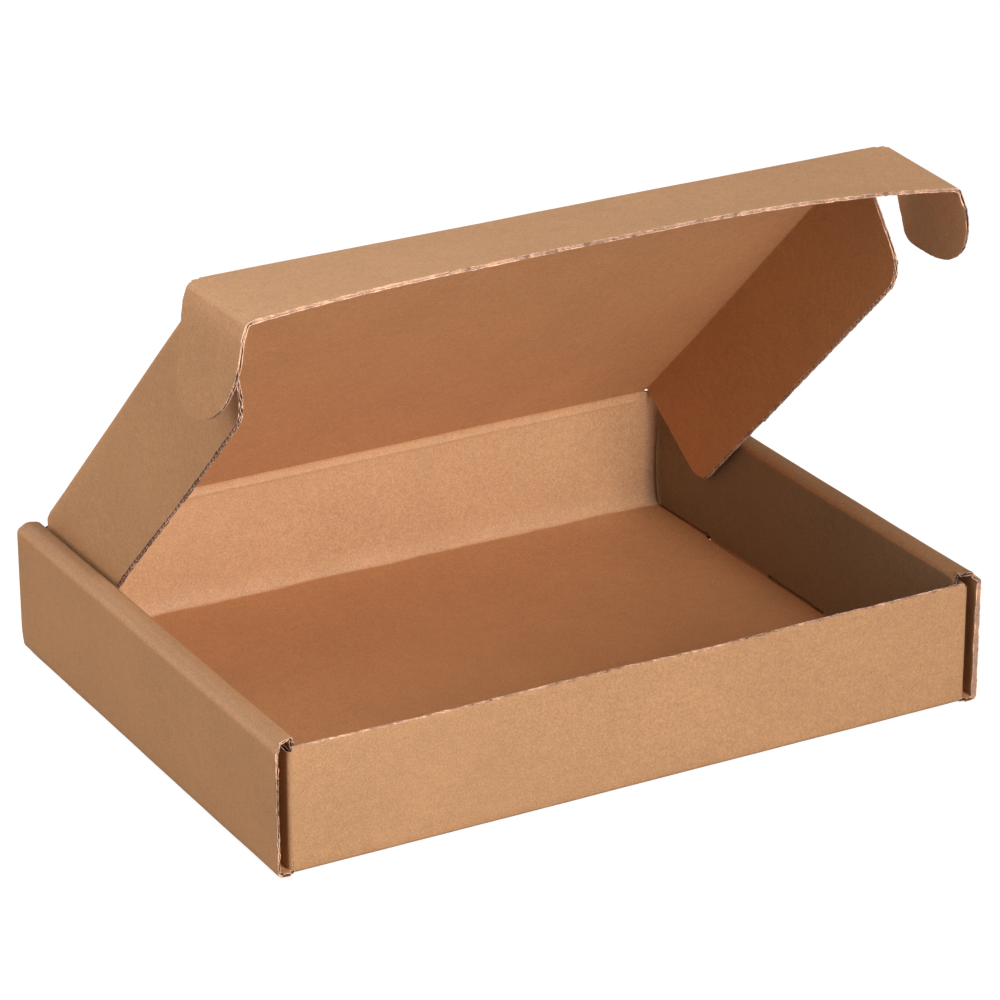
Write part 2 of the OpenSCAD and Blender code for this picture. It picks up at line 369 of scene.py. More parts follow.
# a colour mix's result; the factor is a socket, and each colour a socket or a plain value
def colorMix(nodes, links, factor, first, second):
    node = nodes.new("ShaderNodeMix")
    node.data_type = "RGBA"
    links.new(factor, node.inputs[0])
    for index, value in ((6, first), (7, second)):
        if isinstance(value, tuple):
            node.inputs[index].default_value = value
        else:
            links.new(value, node.inputs[index])
    return node.outputs[2]


# a Math node's result; each value is a socket or a plain number
def mathNode(nodes, links, kind, *values):
    node = nodes.new("ShaderNodeMath")
    node.operation = kind
    for i, value in enumerate(values):
        if isinstance(value, (int, float)):
            node.inputs[i].default_value = value
        else:
            links.new(value, node.inputs[i])
    return node.outputs[0]


# the pulp's noises as scale, detail and roughness, and their shares in the colour and the bump
pulp = {
    "broad": (26, 3, 0.55), "cloud": (260, 3, 0.6), "fine": (1300, 2, 0.8), "fibre": (90, 3, 0.6),
    "fibreStretch": (1.0, 3.0, 1.0), "broadShare": 0.8, "fibreShare": 0.45, "darkest": 0.22,
    "speckScale": 330, "speckFrom": 0.93, "speckSize": 0.32, "speckShare": 0.07, "cloudBump": 0.5,
    "fineBump": 0.35, "fluteBump": 0.12, "bumpDistance": 0.0002,
}


# Kraft paper's look, shared by all the papers: cloudy pulp, short fibres, fine grain and faint flute lines.
def kraftGroup():
    group = bpy.data.node_groups.new("kraftPaper", "ShaderNodeTree")
    face = group.interface
    sockets = {"Paper": (0.5, 0.3, 0.2, 1), "Fibre Dark": (0.3, 0.2, 0.1, 1),
               "Cloud": 0.1, "Grain": 0.1, "Flutes": 0.02}
    for name, value in sockets.items():
        kind = "NodeSocketColor" if isinstance(value, tuple) else "NodeSocketFloat"
        socket = face.new_socket(name=name, in_out="INPUT", socket_type=kind)
        socket.default_value = value
    face.new_socket(name="Color", in_out="OUTPUT", socket_type="NodeSocketColor")
    face.new_socket(name="Height", in_out="OUTPUT", socket_type="NodeSocketFloat")
    nodes, links = group.nodes, group.links
    inside, outside = nodes.new("NodeGroupInput"), nodes.new("NodeGroupOutput")
    coords, blank = nodes.new("ShaderNodeTexCoord"), nodes.new("ShaderNodeUVMap")
    blank.uv_map = "blank"

    def noiseAt(name, source, stretch=None):
        node = nodes.new("ShaderNodeTexNoise")
        for socket, value in zip(("Scale", "Detail", "Roughness"), pulp[name]):
            node.inputs[socket].default_value = value
        if stretch:
            mapping = nodes.new("ShaderNodeMapping")
            mapping.inputs["Scale"].default_value = stretch
            links.new(source, mapping.inputs["Vector"])
            source = mapping.outputs["Vector"]
        links.new(source, node.inputs["Vector"])
        return node.outputs["Fac"]

    def math2(kind, *values):
        return mathNode(nodes, links, kind, *values)

    place, flat = coords.outputs["Object"], blank.outputs["UV"]
    broad, cloud, fine = noiseAt("broad", place), noiseAt("cloud", place), noiseAt("fine", place)
    fibre = noiseAt("fibre", flat, pulp["fibreStretch"])
    noises = (broad, cloud, fine, fibre)
    broadTone, cloudTone, fineTone, fibreTone = (math2("SUBTRACT", value, 0.5) for value in noises)
    shade = math2("MULTIPLY", broadTone, pulp["broadShare"])
    shade = math2("ADD", shade, cloudTone)
    shade = math2("ADD", shade, math2("MULTIPLY", fibreTone, pulp["fibreShare"]))
    shade = math2("MULTIPLY", shade, inside.outputs["Cloud"])
    shade = math2("ADD", shade, math2("MULTIPLY", fineTone, inside.outputs["Grain"]))
    split = nodes.new("ShaderNodeSeparateXYZ")
    links.new(flat, split.inputs[0])
    perTurn = 2 * math.pi / (board["flutePitch"] * board["uvScale"])
    wave = math2("SINE", math2("MULTIPLY", split.outputs["Y"], perTurn))
    shade = math2("ADD", shade, math2("MULTIPLY", wave, inside.outputs["Flutes"]))
    factor = math2("MAXIMUM", math2("ADD", shade, 1.0), pulp["darkest"])
    tinted = nodes.new("ShaderNodeVectorMath")
    tinted.operation = "SCALE"
    links.new(inside.outputs["Paper"], tinted.inputs[0])
    links.new(factor, tinted.inputs["Scale"])
    # scattered pulp specks
    specks = nodes.new("ShaderNodeTexVoronoi")
    specks.inputs["Scale"].default_value = pulp["speckScale"]
    links.new(place, specks.inputs["Vector"])
    speckColor = nodes.new("ShaderNodeSeparateColor")
    links.new(specks.outputs["Color"], speckColor.inputs[0])
    rare = math2("GREATER_THAN", speckColor.outputs[0], pulp["speckFrom"])
    close = math2("LESS_THAN", specks.outputs["Distance"], pulp["speckSize"])
    amount = math2("MULTIPLY", math2("MULTIPLY", rare, close), pulp["speckShare"])
    color = colorMix(nodes, links, amount, tinted.outputs[0], inside.outputs["Fibre Dark"])
    links.new(color, outside.inputs["Color"])
    height = math2("MULTIPLY", cloud, pulp["cloudBump"])
    height = math2("ADD", height, math2("MULTIPLY", fine, pulp["fineBump"]))
    height = math2("ADD", height, math2("MULTIPLY", wave, pulp["fluteBump"]))
    links.new(height, outside.inputs["Height"])
    return group


# a soft mask from limits on the piece's own axes, as axis, none here, full here; X counts from the middle
def zoneMask(nodes, links, limits):
    coords, split = nodes.new("ShaderNodeTexCoord"), nodes.new("ShaderNodeSeparateXYZ")
    links.new(coords.outputs["Object"], split.inputs[0])
    mask = None
    for axis, none, full in limits:
        value, limit = split.outputs[axis], nodes.new("ShaderNodeMapRange")
        limit.inputs["From Min"].default_value, limit.inputs["From Max"].default_value = none, full
        if axis == "X":
            value = mathNode(nodes, links, "ABSOLUTE", value)
        links.new(value, limit.inputs["Value"])
        share = limit.outputs["Result"]
        mask = mathNode(nodes, links, "MULTIPLY", mask, share) if mask else share
    return mask


def kraftMaterial(name, group, look):
    material, nodes, links, shader = newMaterial(name)
    kraft = nodes.new("ShaderNodeGroup")
    kraft.node_tree = group
    tone = (*look["paper"], 1)
    kraft.inputs["Paper"].default_value = tone
    # tints of painted light and shade, laid over the paper in their masks
    for color, limits in look.get("lightAndShadeZones", ()):
        tone = colorMix(nodes, links, zoneMask(nodes, links, limits), tone, (*color, 1))
        links.new(tone, kraft.inputs["Paper"])
    kraft.inputs["Fibre Dark"].default_value = (*look["speck"], 1)
    kraft.inputs["Cloud"].default_value = look["cloud"]
    kraft.inputs["Grain"].default_value = look["grain"]
    kraft.inputs["Flutes"].default_value = look["flutes"]
    bump = nodes.new("ShaderNodeBump")
    bump.inputs["Strength"].default_value = look["bump"]
    bump.inputs["Distance"].default_value = pulp["bumpDistance"]
    links.new(kraft.outputs["Color"], shader.inputs["Base Color"])
    links.new(kraft.outputs["Height"], bump.inputs["Height"])
    links.new(bump.outputs["Normal"], shader.inputs["Normal"])
    shader.inputs["Roughness"].default_value = look["rough"]
    shader.inputs["Specular IOR Level"].default_value = look.get("shine", 0.5)
    return material


outerLook = {"paper": (0.39, 0.197, 0.087), "speck": (0.18, 0.1, 0.06), "cloud": 0.26, "grain": 1.0,
             "flutes": 0.006, "bump": 0.3, "rough": 0.7}
innerLook = {"paper": (0.555, 0.27, 0.122), "speck": (0.2, 0.1, 0.06), "cloud": 0.24, "grain": 1.0,
             "flutes": 0.004, "bump": 0.25, "rough": 0.58}
# masks in metres for light and shade painted into the paper: painted shade darkens the inner walls' faces and
# the rolls' crowns, painted light and sheen make the back wall paler, painted shade darkens its rolled
# corners, and painted light makes the tuck flap's top paler
innerWallShade = (("X", 0.135, 0.1355), ("X", 0.1437, 0.1432), ("Y", -0.1108, -0.1104), ("Y", 0.1095, 0.109),
              ("Z", 0.0022, 0.003), ("Z", 0.0514, 0.0508))
# painted shade on the rolls' crowns
crownShade = (("X", 0.1375, 0.138), ("Z", 0.05, 0.0522))
# painted light and sheen on the back wall
backWallLight = (("Y", 0.1075, 0.1095), ("Z", 0.0018, 0.0036))
# painted shade in the back wall's rolled corners
rearCornerShade = (("X", 0.1345, 0.1405), ("Y", 0.1, 0.106), ("Z", 0.0018, 0.004))
# painted light on the tuck flap's top
tuckTopLight = (("Z", 0.192, 0.196), ("Y", -0.041, -0.046), ("X", 0.148, 0.1452))
papers = {
    "trayOuter": {**outerLook, "lightAndShadeZones": (((0.205, 0.136, 0.072), innerWallShade), ((0.31, 0.157, 0.07), crownShade))},
    "trayInner": {**innerLook, "paper": (0.5, 0.245, 0.108),
                  "lightAndShadeZones": (((0.57, 0.315, 0.156), backWallLight), ((0.17, 0.09, 0.055), rearCornerShade))},
    "lidOuter": {**outerLook, "lightAndShadeZones": (((0.413, 0.226, 0.112), tuckTopLight),)},
    "lidInner": innerLook,
    # the side flaps' inner liner, painted darker and more saturated as shade
    "flapInnerShaded": {**innerLook, "paper": (0.475, 0.226, 0.09)},
    # the ears' inner liner, painted paler and less red as light
    "earInnerLit": {**innerLook, "paper": (0.56, 0.312, 0.16)},
    "medium": {"paper": (0.34, 0.2, 0.14), "speck": (0.15, 0.09, 0.06), "cloud": 1.2, "grain": 0.8,
               "flutes": 0.0, "bump": 0.4, "rough": 0.9, "shine": 0.1},
    # the liners' backs inside the board, painted dark as shade in the flute voids
    "linerBackShaded": {"paper": (0.22, 0.12, 0.08), "speck": (0.15, 0.09, 0.06), "cloud": 0.4, "grain": 0.4,
                 "flutes": 0.0, "bump": 0.4, "rough": 0.9, "shine": 0.1},
    # cut edges: pale torn fibre, with a strong cloud whose dark patches are painted shade of the flute voids
    "cutEdge": {"paper": (0.56, 0.335, 0.225), "speck": (0.12, 0.06, 0.04), "cloud": 2.8, "grain": 1.8,
                "flutes": 0.0, "bump": 0.5, "rough": 0.9, "shine": 0.1},
}
kraft = kraftGroup()
paper = {name: kraftMaterial(name, kraft, look) for name, look in papers.items()}


def slotsFor(outer, inner):
    names = (outer, inner, "medium", "linerBackShaded", "linerBackShaded", "medium", "cutEdge", "cutEdge", "cutEdge")
    return [paper[name] for name in names]


print("materials made:", len(paper))


# The tray's folding lines, each in the middle of the board; a bend is its radius and its angle.
foldTurn = ("turn", mailer["foldRadius"] - half, 90)
tightTurn = ("turn", mailer["tightFold"] - half, 90)
roll = {"start": 48.2, "firstBend": (3.0, 42), "flat": 1.8, "secondBend": (2.6, 48), "crown": 1.69,
        "footClear": 0.2}
sidePath = makePath(0, half, 0, ("run", mailer["halfX"] - mailer["foldRadius"]), foldTurn,
                    ("run", roll["start"] - mailer["foldRadius"]), ("turn", *roll["firstBend"]),
                    ("run", roll["flat"]), ("turn", *roll["secondBend"]), ("run", roll["crown"]),
                    ("turn", mailer["rollInner"] - half, 90),
                    ("run", mailer["wallHeight"] - mailer["rollInner"] - roll["footClear"]))
frontPath = makePath(0, half, 0, ("run", -frontY - mailer["tightFold"]), tightTurn,
                     ("run", mailer["frontHeight"] - mailer["tightFold"]))
backPath = makePath(0, half, 0, ("run", mailer["halfY"] - mailer["foldRadius"]), foldTurn,
                    ("run", mailer["hingeZ"] - mailer["hingeStrip"] - mailer["foldRadius"]))
frontCorner = makePath(0, frontY + half, 0, ("run", flapOuterX - mailer["tightFold"]), tightTurn,
                       ("run", mailer["cornerFlap"] - mailer["tightFold"]))

# rear corners: where their bends start at the foot and at the top, and how far out they reach on each side
rearCorner = {"half": 131.0, "starts": (137.5, 131.5), "reaches": {-1: 144.0, 1: 142.4}, "run": 34,
              "cutStep": 1.1, "cutCount": 16, "topGap": 0.7, "lipHeight": 3.2, "lipStep": 0.4, "lipCuts": 7}


def cornerBend(start, reach):
    bend = ("turn", reach - start, 90)
    return makePath(0, -mailer["halfY"] + half, 0, ("run", start), bend, ("run", rearCorner["run"]))


backBends = {}
for side, reach in rearCorner["reaches"].items():
    backBends[side] = [cornerBend(start, reach) for start in rearCorner["starts"]]

# tray: its tabs and slots, its rough cut edges, and how its walls have bent; spans run from none to full
tray = {
    "tabStart": 22.0, "tabLength": 47.6, "slotClearance": 0.4, "slotStart": 0.2, "slotRear": 0.3,
    "slotAt": 50, "footGap": 2.9, "footShift": 0.1, "footTop": 50, "footSpan": (105, 65), "floorStep": 4.5,
    "stripStep": 2.5, "endRough": 0.6, "rightRough": 0.5, "endCrush": 0.2, "endCuts": (0.6, 1.3, 2.4),
    "endBand": 7, "topRough": 0.45, "frontWave": 0.35, "waveTurn": 0.035, "waveStart": 1.1, "frontDip": 1.2,
    "dipAt": 28, "dipWidth": 34, "frontLow": 0.2, "scoreRidge": 0.35, "scoreWidth": 0.9, "scoreGroove": 0.3,
    "scoreCuts": (-1.6, -0.9, -0.4, 0, 0.4, 0.9, 1.6), "slantIn": 1.5, "slantEnd": 0.5, "innerLean": 0.4,
    "leanTop": 50, "rightShift": 1.0, "shiftSpan": (70, -20), "rollSpan": (146, 142.5), "rearPush": 0.8,
    "pushSpan": (45, 105), "pushRise": 16, "pushFades": 26, "curl": 1.1, "curlIn": 2, "curlPast": 6,
    "curlEnd": 3, "flare": 1.3, "flareIn": 6, "flareEnd": 2.6, "linerTear": 0.9, "linerEven": 0.1,
    "mediumShort": 0.6, "rearStep": 0.6, "rearCurl": 0.8, "rearCurlEnd": 1.4,
}
tabFar = tray["tabStart"] + tray["tabLength"]
foldX = mailer["halfX"] - mailer["foldRadius"]
wallHalf = flapOuterX - mailer["tightFold"]
backHalf = rearCorner["half"]
frontFold, backFold = frontY + mailer["tightFold"], mailer["halfY"] - mailer["foldRadius"]
slantFrom = sidePath[3]["start"] + tray["slantIn"]  # in the roll's first bend
rollEnd = sidePath[7]["end"]  # where the inner wall starts
liners = {"layers": ("outer", "inner")}
smoothLiners = {**liners, "rough": 0.0, "crush": 0.0}


# two places on one side of the box, the lower value first
def span(side, a, b):
    return sorted((side * a, side * b))


# the right wall's roll has opened a little towards the front
def rollShift(side, y):
    share = ramp(y, *tray["shiftSpan"])
    return tray["rightShift"] * share * share * (3 - 2 * share) if side > 0 else 0.0


# the openings in the floor that the lock tabs stand in, a little further in on the right side
def floorSlots():
    slots = []
    for sx in (-1, 1):
        for sy in (-1, 1):
            inward = tray["slotClearance"]
            inward += rollShift(sx, sy * tray["slotAt"]) if sy < 0 else tray["slotRear"] * (sx > 0)
            inward += tray["footShift"] * (sx > 0)
            xs = span(sx, innerWallX - inward, innerWallX + board["thickness"] + tray["slotClearance"])
            ys = span(sy, tray["tabStart"] + tray["slotStart"], tabFar + tray["slotClearance"])
            slots.append((*xs, *ys))
    return slots


# floor, with the strips under the ear slots
def layFloor(bm):
    slots, notches = floorSlots(), []
    for sx in (-1, 1):
        xs = span(sx, wallHalf, flapOuterX + 0.1)
        notches += [(*xs, -far, frontY + 0.2), (*xs, mailer["halfY"] - 1.2, far)]

    def floorFold(co):
        return Vector((co.x, co.y, half - co.z))

    def onFold(co):
        return abs(abs(co.x) - foldX) < near or abs(co.x) <= wallHalf + near
    layBoard(bm, (-backHalf, backHalf, frontFold, backFold), floorFold, step=tray["floorStep"], holes=slots,
             **smoothLiners)
    for sx in (-1, 1):
        strip = (*span(sx, backHalf, wallHalf), frontFold, mailer["halfY"] - board["thickness"])
        layBoard(bm, strip, floorFold, step=tray["stripStep"], holes=slots, **smoothLiners)
        strip = (*span(sx, wallHalf, foldX), -mailer["halfY"], mailer["halfY"])
        layBoard(bm, strip, floorFold, step=tray["stripStep"], holes=slots + notches, rough=0.3, crush=0.1,
                 smoothEdge=onFold, **liners)


def frontWaveAt(x):
    return tray["frontWave"] * math.sin(x * tray["waveTurn"] + tray["waveStart"])


# front wall, its free edge wavy and a little low where it has been pressed
def layFrontWall(bm):
    top = pathEnd(frontPath)

    def frontWallFold(co):
        a, b = pathPoint(frontPath, co.y, co.z)
        dip = tray["frontDip"] * math.exp(-((co.x - tray["dipAt"]) / tray["dipWidth"]) ** 2)
        wave = frontWaveAt(co.x) - (dip + tray["frontLow"])
        return Vector((co.x, -a, b + wave * max(0, b / mailer["frontHeight"])))
    layBoard(bm, (-wallHalf, wallHalf, -frontFold, top), frontWallFold,
             cutsY=turnCuts(frontPath, 5) + [top - d for d in board["edgeCuts"]],
             bands=[(-wallHalf, wallHalf, top - board["band"], top)], waveStep=4, rough=tray["topRough"],
             crush=0.2, smoothEdge=lambda co: co.y < top - near)
    tornStrip(bm, -wallHalf, wallHalf, top - 0.25, frontWallFold, low=-0.75, high=0.15)


# back wall up to the hinge, with the lower score's ridge
def layBackWall(bm):
    top = pathEnd(backPath)
    scoreAt = top - (mailer["scoreDrop"] - mailer["hingeStrip"])

    def backWallFold(co):
        a, b = pathPoint(backPath, co.y, co.z)
        away = b - mailer["hingeZ"] + mailer["scoreDrop"]
        ridge = tray["scoreRidge"] * math.exp(-(away / tray["scoreWidth"]) ** 2)
        pressed = (ridge if co.z < 0 else -tray["scoreGroove"] * ridge) * (abs(co.x) < mailer["lidHalf"])
        return Vector((co.x, a - pressed, b))
    layBoard(bm, (-backHalf, backHalf, backFold, top), backWallFold,
             cutsY=turnCuts(backPath, 6) + [scoreAt + d for d in tray["scoreCuts"]], **smoothLiners)


# corner bends and corner flaps, standing inside the rolled wall of their side
def layCorners(bm, sx):
    def frontCornerFold(co):
        a, b = pathPoint(frontCorner, co.x, co.z)
        return Vector((sx * a, b, co.y + frontWaveAt(sx * a) * co.y / mailer["frontHeight"]))
    layBoard(bm, (wallHalf, pathEnd(frontCorner), 0.9, mailer["frontHeight"] - 1.4), frontCornerFold,
             cutsX=turnCuts(frontCorner, 8), rough=0.4, crush=0.15,
             smoothEdge=lambda co: co.x < wallHalf + near, **liners)

    def backCornerFold(co):
        low, high = (pathPoint(bend, co.x, co.z) for bend in backBends[sx])
        share = ramp(co.y, 0, mailer["wallHeight"])
        a, b = (low[i] + (high[i] - low[i]) * share for i in (0, 1))
        return Vector((sx * a, -b, co.y))

    def unseen(co):
        return co.x < backHalf + near or (co.x < mailer["lidHalf"] + 0.5 and co.y > 30) or co.y < 3
    bendCuts = [backHalf + rearCorner["cutStep"] * k for k in range(1, rearCorner["cutCount"] + 1)]
    shoulder = mailer["shoulder"] - (board["thickness"] if sx < 0 else 0)
    top = mailer["hingeZ"] - rearCorner["topGap"]
    area = (backHalf, pathEnd(backBends[sx][0]), mailer["foldRadius"], top)
    layBoard(bm, area, backCornerFold, cutsX=bendCuts, holes=[(mailer["lidHalf"] + 0.4, far, shoulder, far)],
             rough=0.25, crush=0.15, smoothEdge=unseen, **liners)

    # the fold at the corner's foot
    def lipFold(co):
        return Vector((sx * co.x, *pathPoint(backPath, backFold + co.y, co.z)))
    layBoard(bm, (backHalf, wallHalf, 0, rearCorner["lipHeight"]), lipFold,
             cutsY=[rearCorner["lipStep"] * k for k in range(1, rearCorner["lipCuts"] + 1)], **smoothLiners)


# a rolled side wall with its inner wall and lock tabs
def laySideWall(bm, sx):
    end, y = pathEnd(sidePath), mailer["halfY"]
    foot = end - tray["footGap"]
    between = ((-tray["tabStart"], tray["tabStart"]), (tabFar, far), (-far, -tabFar))
    feet = [(foot, far, *gap) for gap in between]

    # how far a point leans in
    def leanAt(t, co, a, b):
        lean = tray["innerLean"] * math.sin(math.pi * ramp(b, 0, tray["leanTop"])) if t > rollEnd else 0
        lean += rollShift(sx, co.y) * ramp(a, *tray["rollSpan"]) * (t > slantFrom)
        if sx > 0 and t > slantFrom:
            push = ramp(co.y, *tray["pushSpan"]) ** 1.5 * ramp(a, *tray["rollSpan"])
            fades = 1 - 0.5 * max(0, (b - tray["pushFades"]) / tray["pushFades"])
            lean += tray["rearPush"] * push * ramp(b, 0, tray["pushRise"]) * fades
        if sx > 0 and t > rollEnd:
            lean += tray["footShift"] * clamp(1 - b / tray["footTop"]) * ramp(co.y, *tray["footSpan"])
        # the outer wall's inner liner has come loose at its front end
        if sx > 0 and co.z < -0.4 and t < slantFrom:
            flare = 0.7 + 0.5 * noise.noise(Vector((t * 0.12, 8, 1)))
            frayed = max(0, 1 - (y + co.y) / tray["flareEnd"])
            lean += tray["flare"] * flare * frayed * min(1, (slantFrom - t) / tray["flareIn"])
        if co.y > 0 and co.z > 0.4 and t > rollEnd:
            rearEnd = clamp((co.y - y + tray["rearCurlEnd"]) / tray["rearCurlEnd"])
            lean += tray["rearCurl"] * (sx > 0) * rearEnd ** 2
        return lean

    # the front end's curled rim
    def curlAt(t, co):
        curl = noise.noise_vector(Vector((t * 0.9, co.y * 0.4 + 40 * sx, 2))) * tray["curl"]
        rolled = clamp((t - slantFrom) / tray["curlIn"]) * (t < rollEnd + tray["curlPast"])
        return curl * rolled * max(0, 1 - (y + co.y) / tray["curlEnd"])

    def sideFold(co):
        t = co.x
        # the roll's ends slant in plan: the further in, the shorter the sheet
        share = ramp(t, slantFrom, rollEnd - tray["slantEnd"])
        squeeze = (y - (mailer["frontSlant"] if co.y < 0 else mailer["rearSlant"]) * share) / y
        if co.y > 0 and co.z > 0.4 and t > rollEnd:
            squeeze -= tray["rearStep"] / y
        a, b = pathPoint(sidePath, t, co.z)
        curl = curlAt(t, co)
        return Vector((sx * (a - leanAt(t, co, a, b) + curl.x), co.y * squeeze, b + curl.z))

    edges = [-y + d for d in tray["endCuts"]] + [y - d for d in tray["endCuts"]]
    torn = tray["linerTear"] if sx < 0 else tray["linerEven"]
    for layer, short in (("outer", 0.0), ("inner", torn), ("medium", tray["mediumShort"])):
        ends = [(foldX, end, -y + short, -y + tray["endBand"]), (foldX, end, y - tray["endBand"], y - short)]
        layBoard(bm, (foldX, end, -y + short, y - short), sideFold, layers=(layer,), holes=feet, bands=ends,
                 cutsX=turnCuts(sidePath, 6), cutsY=edges, waveStep=4, crush=tray["endCrush"],
                 rough=tray["endRough"] * (1 if sx < 0 else tray["rightRough"]),
                 smoothEdge=lambda co: co.x < foldX + near or (co.y > y - near and co.x < slantFrom + 9))
    if sx > 0:
        tornStrip(bm, foldX, slantFrom, -y + 0.5, sideFold, low=-0.8, high=0.4, ragged=0.2,
                  slot=slotIndex["medium"])


def buildTray():
    bm = bmesh.new()
    layFloor(bm)
    layFrontWall(bm)
    layBackWall(bm)
    for sx in (-1, 1):
        layCorners(bm, sx)
    for sx in (-1, 1):
        laySideWall(bm, sx)
    obj = finishBoard("trayBoard", bm, slotsFor("trayOuter", "trayInner"))
    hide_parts("tray")
    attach(obj, "tray")


buildTray()
print("tray folded")


# The lid's frame: origin on the hinge, Y backwards, Z out of its top; the tuck flap's starts at its crease.
lidRise = Matrix.Rotation(-math.radians(mailer["lidAngle"]), 4, "X")
lidTurn = Matrix.Translation((0, mailer["hingeY"], mailer["hingeZ"])) @ lidRise
tuckDrop = Matrix.Rotation(math.radians(mailer["tuckAngle"]), 4, "X")
tuckPlace = Matrix.Translation((0, -mailer["lidLength"], 0)) @ tuckDrop

# lid: the fold at its hinge, its bow in millimetres, its turn in degrees at the middle and added towards the
# right, how much wider it is at its rear left, and the gaps left for its creases
lid = {"hingeFold": 90 - mailer["lidAngle"], "bow": 0.9, "turnMiddle": -0.1, "turnRight": 0.28,
       "rearWider": 0.5, "sideGap": 0.3, "frontGap": 0.6}
sideStart = mailer["lidHalf"] - half - tangent(mailer["creaseRadius"], mailer["sideAngle"]) - lid["sideGap"]


def bowed(x, s):
    u, v = x / mailer["lidHalf"], s / mailer["lidLength"]
    return lid["bow"] * (1 - u * u) * math.sin(math.pi * clamp(v))


# a point of the lid's frame, placed on the lid as it really hangs
def lidPoint(co):
    lean = math.radians(lid["turnMiddle"] + lid["turnRight"] * co.x / mailer["earCrease"])
    spread = lid["rearWider"] * min(0, co.x / mailer["lidHalf"]) * clamp(1 + co.y / mailer["lidLength"])
    return lidTurn @ Vector((co.x + spread, co.y + co.z * lean, co.z - co.y * lean))


def buildLid():
    bm = bmesh.new()
    r = mailer["creaseRadius"]
    back = tangent(r, lid["hingeFold"])
    front = tangent(r, mailer["tuckAngle"])
    path = makePath(mailer["hingeY"], mailer["hingeZ"] - mailer["hingeStrip"], 90,
                    ("run", mailer["hingeStrip"] - back), ("turn", r, lid["hingeFold"]),
                    ("run", mailer["lidLength"] - back - front - lid["frontGap"]))
    lidBack = lidTurn.inverted()

    def lidFold(co):
        a, b = pathPoint(path, co.y, co.z)
        p = lidBack @ Vector((co.x, a, b))
        p.z += bowed(co.x, co.y)
        return lidPoint(p)
    layBoard(bm, (-sideStart, sideStart, 0, pathEnd(path)), lidFold, cutsY=turnCuts(path, 8), **smoothLiners)
    obj = finishBoard("lidBoard", bm, slotsFor("lidOuter", "lidInner"))
    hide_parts("lid")
    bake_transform(obj)


buildLid()


# side flaps: the outline, measured from the crease and from the hinge, and how each one hangs
sideFlap = {
    "height": 48.4, "allowance": 0.8, "front": 214.6, "frontLow": 208.3, "frontRound": 11.0,
    "linerStep": 0.8, "bowFrom": 2, "bowFades": 40, "bulgeShare": 0.5, "bulgeRise": 5, "bulgeTop": 50,
    "bulgeEnd": 130, "hangTop": 48, "hangAt": 145, "hangWidth": 45,
}
sideFlaps = {
    "side_flap_left": {**sideFlap, "side": -1, "fold": 88.7, "crease": 136.4, "bulge": 2.4, "hangIn": 1.0,
                       "deeper": 0.0, "rear": 0.9, "rearLow": 6.0, "rearRound": 6.0},
    "side_flap_right": {**sideFlap, "side": 1, "fold": 88.9, "crease": 135.95, "bulge": 0.4, "hangIn": 0.0,
                        "deeper": 0.6, "rear": 2.1, "rearLow": 12.4, "rearRound": 8.5},
}


def buildSideFlap(name):
    bm = bmesh.new()
    flap, r = sideFlaps[name], mailer["creaseRadius"]
    sx, corner, rear, front = flap["side"], flap["crease"], flap["rear"], flap["front"]
    reach = tangent(r, flap["fold"])
    path = makePath(sideStart, 0, 0, ("run", corner - reach - sideStart), ("turn", r, flap["fold"]),
                    ("run", flap["height"] + flap["allowance"] + flap["deeper"] - reach))
    length, crease = pathEnd(path), path[1]["end"]

    def flapFold(co):
        a, b = pathPoint(path, co.x, co.z)
        bow = bowed(sideStart, co.y) * max(0, 1 - max(0, co.x - flap["bowFrom"]) / flap["bowFades"])
        out = flap["bulge"] * flap["bulgeShare"] * ramp(b, 0, flap["bulgeRise"])
        out *= max(0, 1 - b / flap["bulgeTop"])
        out *= max(0, 1 - co.y / flap["bulgeEnd"])
        along = math.exp(-((co.y - flap["hangAt"]) / flap["hangWidth"]) ** 2)
        out -= flap["hangIn"] * max(0, b / flap["hangTop"]) ** 2 * along
        return lidPoint(Vector((sx * (a + out), -co.y, -b + bow)))
    for layer in ("outer", "inner", "medium"):
        # the liner facing the eye is cut a little short, so the flutes show
        deep = length - (flap["linerStep"] if layer == ("outer" if sx < 0 else "inner") else 0)
        corners = [(-1, rear, 0), (crease, rear, 0), (deep, flap["rearLow"], flap["rearRound"]),
                   (deep, flap["frontLow"], flap["frontRound"]), (crease, front, 0), (-1, front, 0)]
        layBoard(bm, (0, deep, rear, front), flapFold, layers=(layer,), cutsX=turnCuts(path, 8),
                 planes=outlinePlanes(corners), bands=[(crease, deep, rear, front)], rough=0.2, crush=0.16,
                 smoothEdge=lambda co: co.x < near)
    obj = finishBoard(name + "Board", bm, slotsFor("lidOuter", "flapInnerShaded"))
    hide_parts(name)
    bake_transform(obj)


for name in ("side_flap_left", "side_flap_right"):
    buildSideFlap(name)
print("lid and side flaps folded")


# tuck flap: its fold is slacker in the middle, so its edge arches; foldPowers are degrees for powers of x
tuck = {"foldPowers": (-7.39, -0.9, 4.15, 4.88, 3.3, -1.75), "rootGap": 0.4, "edgeWave": 0.5,
        "waveScale": 0.03, "notchFrom": 141.5, "notchDeep": 0.8, "plainEnds": 3}
earStart = mailer["earCrease"] - tangent(mailer["earRadius"], mailer["earAngle"]) - 0.2


# a point of the tuck flap's frame, placed on the arched and twisted flap
def tuckPoint(co):
    u = co.x / mailer["earCrease"]
    slack = math.radians(sum(c * u ** i for i, c in enumerate(tuck["foldPowers"])))
    y, z = co.y * math.cos(slack) - co.z * math.sin(slack), co.y * math.sin(slack) + co.z * math.cos(slack)
    return lidPoint(tuckPlace @ Vector((co.x, y, z)))


